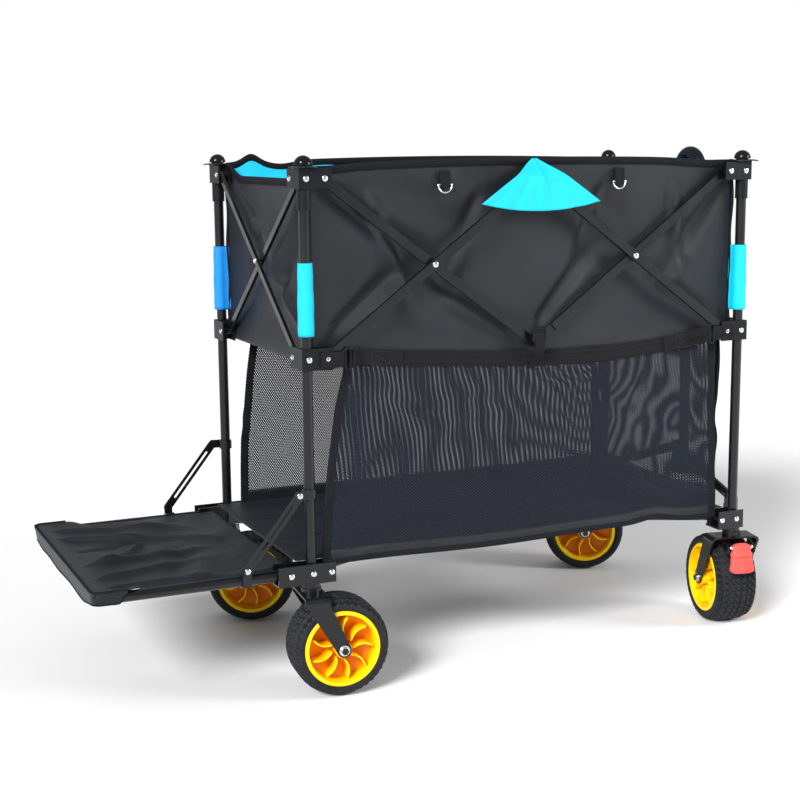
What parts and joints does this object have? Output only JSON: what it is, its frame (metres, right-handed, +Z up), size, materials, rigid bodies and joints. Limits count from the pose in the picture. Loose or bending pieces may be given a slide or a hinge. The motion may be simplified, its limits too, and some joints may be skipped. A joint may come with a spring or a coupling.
{
  "type": "beach cart",
  "caption": "Folding double-decker beach cart with a fabric box over a mesh-sided deck, a drop-down tailgate, a pull handle and wide swivel wheels.",
  "frame": {"origin": "on the ground, midway between the four posts", "axes": "+X towards the handle end, +Y towards the left side, +Z up"},
  "size_m": [1.3579, 0.6372, 0.956],
  "materials": {
    "black_powder_coat": "satin black powder coat",
    "grey_steel": "dark grey paint",
    "black_nylon": "moulded nylon",
    "soft_grip": "glossy moulded grip",
    "yellow_rim": "moulded",
    "tyre_rubber": "moulded tread",
    "red_lever": "moulded",
    "black_cloth": "woven polyester",
    "black_mesh": "knitted mesh",
    "webbing": "ribbed webbing",
    "plated_ring": "nickel plated"
  },
  "bodies": {
    "post_rear_right": {"post_rear_right": "black_powder_coat", "corner_cap_rear_right": "black_nylon", "upper_box": "black_cloth", "lower_basket": "black_mesh", "lower_floor": "black_cloth", "side_straps": "webbing", "d_rings": "plated_ring"},
    "post_rear_left": {"post_rear_left": "black_powder_coat", "corner_cap_rear_left": "black_nylon"},
    "post_front_right": {"post_front_right": "black_powder_coat", "corner_cap_front_right": "black_nylon"},
    "post_front_left": {"post_front_left": "black_powder_coat", "corner_cap_front_left": "black_nylon"},
    "side_bar_right_1": {"side_bar_right_1": "black_powder_coat"},
    "side_bar_right_2": {"side_bar_right_2": "black_powder_coat"},
    "side_bar_right_3": {"side_bar_right_3": "black_powder_coat"},
    "side_bar_right_4": {"side_bar_right_4": "black_powder_coat"},
    "slider_rear_right": {"slider_rear_right": "black_nylon"},
    "slider_front_right": {"slider_front_right": "black_nylon"},
    "side_bar_left_1": {"side_bar_left_1": "black_powder_coat"},
    "side_bar_left_2": {"side_bar_left_2": "black_powder_coat"},
    "side_bar_left_3": {"side_bar_left_3": "black_powder_coat"},
    "side_bar_left_4": {"side_bar_left_4": "black_powder_coat"},
    "slider_rear_left": {"slider_rear_left": "black_nylon"},
    "slider_front_left": {"slider_front_left": "black_nylon"},
    "end_bar_rear_1": {"end_bar_rear_1": "black_powder_coat"},
    "end_bar_front_1": {"end_bar_front_1": "black_powder_coat"},
    "end_bar_rear_2": {"end_bar_rear_2": "black_powder_coat"},
    "end_bar_front_2": {"end_bar_front_2": "black_powder_coat"},
    "floor_bar_rear_right": {"floor_bar_rear_right": "grey_steel"},
    "floor_bar_rear_left": {"floor_bar_rear_left": "grey_steel"},
    "floor_bar_front_right": {"floor_bar_front_right": "grey_steel"},
    "floor_bar_front_left": {"floor_bar_front_left": "grey_steel"},
    "floor_hub": {"floor_hub": "black_nylon"},
    "handle_link_right": {"handle_link_right": "black_powder_coat"},
    "handle_link_left": {"handle_link_left": "black_powder_coat"},
    "handle_bracket": {"handle_bracket": "black_nylon"},
    "handle_outer": {"handle_outer_tube": "black_powder_coat"},
    "handle_inner": {"handle_inner_tube": "grey_steel", "handle_grip": "soft_grip"},
    "tailgate_right": {"tailgate_tube_right": "black_powder_coat", "tailgate_fabric": "black_cloth"},
    "tailgate_left": {"tailgate_tube_left": "black_powder_coat"},
    "tailgate_stay_right": {"tailgate_stay_right": "black_powder_coat"},
    "tailgate_stay_left": {"tailgate_stay_left": "black_powder_coat"},
    "caster_rear_right": {"caster_fork_rear_right": "black_powder_coat"},
    "wheel_rear_right": {"wheel_rim_rear_right": "yellow_rim", "tyre_rear_right": "tyre_rubber"},
    "caster_rear_left": {"caster_fork_rear_left": "black_powder_coat"},
    "wheel_rear_left": {"wheel_rim_rear_left": "yellow_rim", "tyre_rear_left": "tyre_rubber"},
    "caster_front_right": {"caster_fork_front_right": "black_powder_coat"},
    "wheel_front_right": {"wheel_rim_front_right": "yellow_rim", "tyre_front_right": "tyre_rubber"},
    "brake_right": {"brake_lever_right": "red_lever"},
    "caster_front_left": {"caster_fork_front_left": "black_powder_coat"},
    "wheel_front_left": {"wheel_rim_front_left": "yellow_rim", "tyre_front_left": "tyre_rubber"},
    "brake_left": {"brake_lever_left": "red_lever"}
  },
  "joints": [
    {"name": "fold", "type": "hinge", "parent": "post_rear_right", "child": "side_bar_right_1", "pos_m": [-0.416, -0.242, 0.91], "axis": [0, 1, 0], "range_deg": [0, 40], "deforming": ["upper_box", "lower_basket", "lower_floor", "side_straps", "d_rings", "tailgate_fabric"]},
    {"name": "side_pivot_right_2", "type": "hinge", "parent": "side_bar_right_1", "child": "side_bar_right_2", "pos_m": [-0.208, -0.242, 0.756], "axis": [0, 1, 0], "range_deg": [-80.5, 0.5]},
    {"name": "slider_pivot_rear_right", "type": "hinge", "parent": "side_bar_right_2", "child": "slider_rear_right", "pos_m": [-0.416, -0.242, 0.602], "axis": [0, 1, 0], "range_deg": [-0.5, 40.5]},
    {"name": "side_pivot_right_3", "type": "hinge", "parent": "side_bar_right_1", "child": "side_bar_right_3", "pos_m": [0, -0.242, 0.602], "axis": [0, 1, 0], "range_deg": [-80.5, 0.5]},
    {"name": "side_pivot_right_4", "type": "hinge", "parent": "side_bar_right_3", "child": "side_bar_right_4", "pos_m": [0.208, -0.242, 0.756], "axis": [0, 1, 0], "range_deg": [-0.5, 80.5]},
    {"name": "post_pivot_front_right", "type": "hinge", "parent": "side_bar_right_3", "child": "post_front_right", "pos_m": [0.416, -0.242, 0.91], "axis": [0, 1, 0], "range_deg": [-0.5, 40.5]},
    {"name": "slider_pivot_front_right", "type": "hinge", "parent": "side_bar_right_4", "child": "slider_front_right", "pos_m": [0.416, -0.242, 0.602], "axis": [0, 1, 0], "range_deg": [-40.5, 0.5]},
    {"name": "end_pivot_rear_1", "type": "hinge", "parent": "post_rear_right", "child": "end_bar_rear_1", "pos_m": [-0.45, -0.208, 0.91], "axis": [1, 0, 0], "range_deg": [-40.5, 0.5]},
    {"name": "end_pivot_rear_2", "type": "hinge", "parent": "end_bar_rear_1", "child": "end_bar_rear_2", "pos_m": [-0.45, 0, 0.756], "axis": [1, 0, 0], "range_deg": [-0.5, 80.5]},
    {"name": "post_pivot_rear_left", "type": "hinge", "parent": "end_bar_rear_2", "child": "post_rear_left", "pos_m": [-0.45, 0.208, 0.91], "axis": [1, 0, 0], "range_deg": [-40.5, 0.5]},
    {"name": "slider_pivot_rear_left", "type": "hinge", "parent": "end_bar_rear_1", "child": "slider_rear_left", "pos_m": [-0.45, 0.208, 0.602], "axis": [1, 0, 0], "range_deg": [-0.5, 40.5]},
    {"name": "side_pivot_left_1", "type": "hinge", "parent": "post_rear_left", "child": "side_bar_left_1", "pos_m": [-0.416, 0.242, 0.91], "axis": [0, 1, 0], "range_deg": [-0.5, 40.5]},
    {"name": "side_pivot_left_2", "type": "hinge", "parent": "side_bar_left_1", "child": "side_bar_left_2", "pos_m": [-0.208, 0.242, 0.756], "axis": [0, 1, 0], "range_deg": [-80.5, 0.5]},
    {"name": "side_pivot_left_3", "type": "hinge", "parent": "side_bar_left_1", "child": "side_bar_left_3", "pos_m": [0, 0.242, 0.602], "axis": [0, 1, 0], "range_deg": [-80.5, 0.5]},
    {"name": "side_pivot_left_4", "type": "hinge", "parent": "side_bar_left_3", "child": "side_bar_left_4", "pos_m": [0.208, 0.242, 0.756], "axis": [0, 1, 0], "range_deg": [-0.5, 80.5]},
    {"name": "post_pivot_front_left", "type": "hinge", "parent": "side_bar_left_3", "child": "post_front_left", "pos_m": [0.416, 0.242, 0.91], "axis": [0, 1, 0], "range_deg": [-0.5, 40.5]},
    {"name": "slider_pivot_front_left", "type": "hinge", "parent": "side_bar_left_4", "child": "slider_front_left", "pos_m": [0.416, 0.242, 0.602], "axis": [0, 1, 0], "range_deg": [-40.5, 0.5]},
    {"name": "end_pivot_front_1", "type": "hinge", "parent": "post_front_right", "child": "end_bar_front_1", "pos_m": [0.45, -0.208, 0.91], "axis": [1, 0, 0], "range_deg": [-40.5, 0.5]},
    {"name": "end_pivot_front_2", "type": "hinge", "parent": "end_bar_front_1", "child": "end_bar_front_2", "pos_m": [0.45, 0, 0.756], "axis": [1, 0, 0], "range_deg": [-0.5, 80.5]},
    {"name": "floor_pivot_rear_right", "type": "hinge", "parent": "post_rear_right", "child": "floor_bar_rear_right", "pos_m": [-0.416, -0.208, 0.223], "axis": [0.4472, -0.8944, 0], "range_deg": [-0.5, 80.5]},
    {"name": "floor_pivot_rear_left", "type": "hinge", "parent": "post_rear_left", "child": "floor_bar_rear_left", "pos_m": [-0.416, 0.208, 0.223], "axis": [-0.4472, -0.8944, 0], "range_deg": [-0.5, 80.5]},
    {"name": "floor_pivot_front_right", "type": "hinge", "parent": "post_front_right", "child": "floor_bar_front_right", "pos_m": [0.416, -0.208, 0.223], "axis": [0.4472, 0.8944, 0], "range_deg": [-0.5, 80.5]},
    {"name": "floor_pivot_front_left", "type": "hinge", "parent": "post_front_left", "child": "floor_bar_front_left", "pos_m": [0.416, 0.208, 0.223], "axis": [-0.4472, 0.8944, 0], "range_deg": [-0.5, 80.5]},
    {"name": "hub_pivot", "type": "hinge", "parent": "floor_bar_rear_right", "child": "floor_hub", "pos_m": [-0.06708, -0.03354, 0.223], "axis": [0.4472, -0.8944, 0], "range_deg": [-80.5, 0.5]},
    {"name": "handle_link_pivot_right", "type": "hinge", "parent": "post_front_right", "child": "handle_link_right", "pos_m": [0.4723, -0.208, 0.252], "axis": [1, 0, 0], "range_deg": [-0.5, 55.94]},
    {"name": "handle_link_pivot_left", "type": "hinge", "parent": "post_front_left", "child": "handle_link_left", "pos_m": [0.466, 0.208, 0.252], "axis": [1, 0, 0], "range_deg": [-55.94, 0.5]},
    {"name": "handle_bracket_pivot", "type": "hinge", "parent": "handle_link_right", "child": "handle_bracket", "pos_m": [0.4723, 0, 0.322], "axis": [1, 0, 0], "range_deg": [-55.94, 0.5]},
    {"name": "handle_tilt", "type": "hinge", "parent": "handle_bracket", "child": "handle_outer", "pos_m": [0.4986, 0, 0.276], "axis": [0, 1, 0], "range_deg": [0, 85]},
    {"name": "handle_slide", "type": "slide", "parent": "handle_outer", "child": "handle_inner", "axis": [0, 0, 1], "range_m": [0, 0.3]},
    {"name": "tailgate", "type": "hinge", "parent": "post_rear_right", "child": "tailgate_right", "pos_m": [-0.491, -0.242, 0.223], "axis": [0, 1, 0], "range_deg": [0, 84]},
    {"name": "tailgate_follow_left", "type": "hinge", "parent": "post_rear_left", "child": "tailgate_left", "pos_m": [-0.491, 0.242, 0.223], "axis": [0, 1, 0], "range_deg": [-0.5, 84.5]},
    {"name": "stay_pivot_right", "type": "hinge", "parent": "tailgate_right", "child": "tailgate_stay_right", "pos_m": [-0.571, -0.242, 0.243], "axis": [0, 1, 0], "range_deg": [-117.03, 0.5]},
    {"name": "stay_pivot_left", "type": "hinge", "parent": "tailgate_left", "child": "tailgate_stay_left", "pos_m": [-0.571, 0.242, 0.243], "axis": [0, 1, 0], "range_deg": [-117.03, 0.5]},
    {"name": "swivel_rear_right", "type": "hinge", "parent": "post_rear_right", "child": "caster_rear_right", "pos_m": [-0.45, -0.242, 0.19], "axis": [0, 0, 1], "continuous": true},
    {"name": "spin_rear_right", "type": "hinge", "parent": "caster_rear_right", "child": "wheel_rear_right", "pos_m": [-0.40425, -0.24681, 0.089], "axis": [0.1045, 0.9945, 0], "continuous": true},
    {"name": "swivel_rear_left", "type": "hinge", "parent": "post_rear_left", "child": "caster_rear_left", "pos_m": [-0.45, 0.242, 0.19], "axis": [0, 0, 1], "continuous": true},
    {"name": "spin_rear_left", "type": "hinge", "parent": "caster_rear_left", "child": "wheel_rear_left", "pos_m": [-0.40677, 0.22627, 0.089], "axis": [0.342, 0.9397, 0], "continuous": true},
    {"name": "swivel_front_right", "type": "hinge", "parent": "post_front_right", "child": "caster_front_right", "pos_m": [0.45, -0.242, 0.19], "axis": [0, 0, 1], "continuous": true},
    {"name": "spin_front_right", "type": "hinge", "parent": "caster_front_right", "child": "wheel_front_right", "pos_m": [0.45956, -0.19701, 0.089], "axis": [-0.9781, 0.2079, 0], "continuous": true},
    {"name": "brake_right_pivot", "type": "hinge", "parent": "caster_front_right", "child": "brake_right", "pos_m": [0.44085, -0.28504, 0.17], "axis": [-0.9781, 0.2079, 0], "range_deg": [0, 35]},
    {"name": "swivel_front_left", "type": "hinge", "parent": "post_front_left", "child": "caster_front_left", "pos_m": [0.45, 0.242, 0.19], "axis": [0, 0, 1], "continuous": true},
    {"name": "spin_front_left", "type": "hinge", "parent": "caster_front_left", "child": "wheel_front_left", "pos_m": [0.40831, 0.26144, 0.089], "axis": [-0.4226, -0.9063, 0], "continuous": true},
    {"name": "brake_left_pivot", "type": "hinge", "parent": "caster_front_left", "child": "brake_left", "pos_m": [0.48988, 0.2234, 0.17], "axis": [-0.4226, -0.9063, 0], "range_deg": [0, 35]}
  ],
  "couplings": [
    {"joint": "side_pivot_right_2", "follows": "fold", "ratio": -2},
    {"joint": "slider_pivot_rear_right", "follows": "fold", "ratio": 1},
    {"joint": "side_pivot_right_3", "follows": "fold", "ratio": -2},
    {"joint": "side_pivot_right_4", "follows": "fold", "ratio": 2},
    {"joint": "post_pivot_front_right", "follows": "fold", "ratio": 1},
    {"joint": "slider_pivot_front_right", "follows": "fold", "ratio": -1},
    {"joint": "end_pivot_rear_1", "follows": "fold", "ratio": -1},
    {"joint": "end_pivot_rear_2", "follows": "fold", "ratio": 2},
    {"joint": "post_pivot_rear_left", "follows": "fold", "ratio": -1},
    {"joint": "slider_pivot_rear_left", "follows": "fold", "ratio": 1},
    {"joint": "side_pivot_left_1", "follows": "fold", "ratio": 1},
    {"joint": "side_pivot_left_2", "follows": "fold", "ratio": -2},
    {"joint": "side_pivot_left_3", "follows": "fold", "ratio": -2},
    {"joint": "side_pivot_left_4", "follows": "fold", "ratio": 2},
    {"joint": "post_pivot_front_left", "follows": "fold", "ratio": 1},
    {"joint": "slider_pivot_front_left", "follows": "fold", "ratio": -1},
    {"joint": "end_pivot_front_1", "follows": "fold", "ratio": -1},
    {"joint": "end_pivot_front_2", "follows": "fold", "ratio": 2},
    {"joint": "floor_pivot_rear_right", "follows": "fold", "ratio": 2},
    {"joint": "floor_pivot_rear_left", "follows": "fold", "ratio": 2},
    {"joint": "floor_pivot_front_right", "follows": "fold", "ratio": 2},
    {"joint": "floor_pivot_front_left", "follows": "fold", "ratio": 2},
    {"joint": "hub_pivot", "follows": "fold", "ratio": -2},
    {"joint": "handle_link_pivot_right", "follows": "fold", "ratio": 1.386},
    {"joint": "handle_link_pivot_left", "follows": "fold", "ratio": -1.386},
    {"joint": "handle_bracket_pivot", "follows": "fold", "ratio": -1.386},
    {"joint": "tailgate_follow_left", "follows": "tailgate", "ratio": 1},
    {"joint": "stay_pivot_right", "follows": "tailgate", "ratio": -1.3872},
    {"joint": "stay_pivot_left", "follows": "tailgate", "ratio": -1.3872}
  ]
}
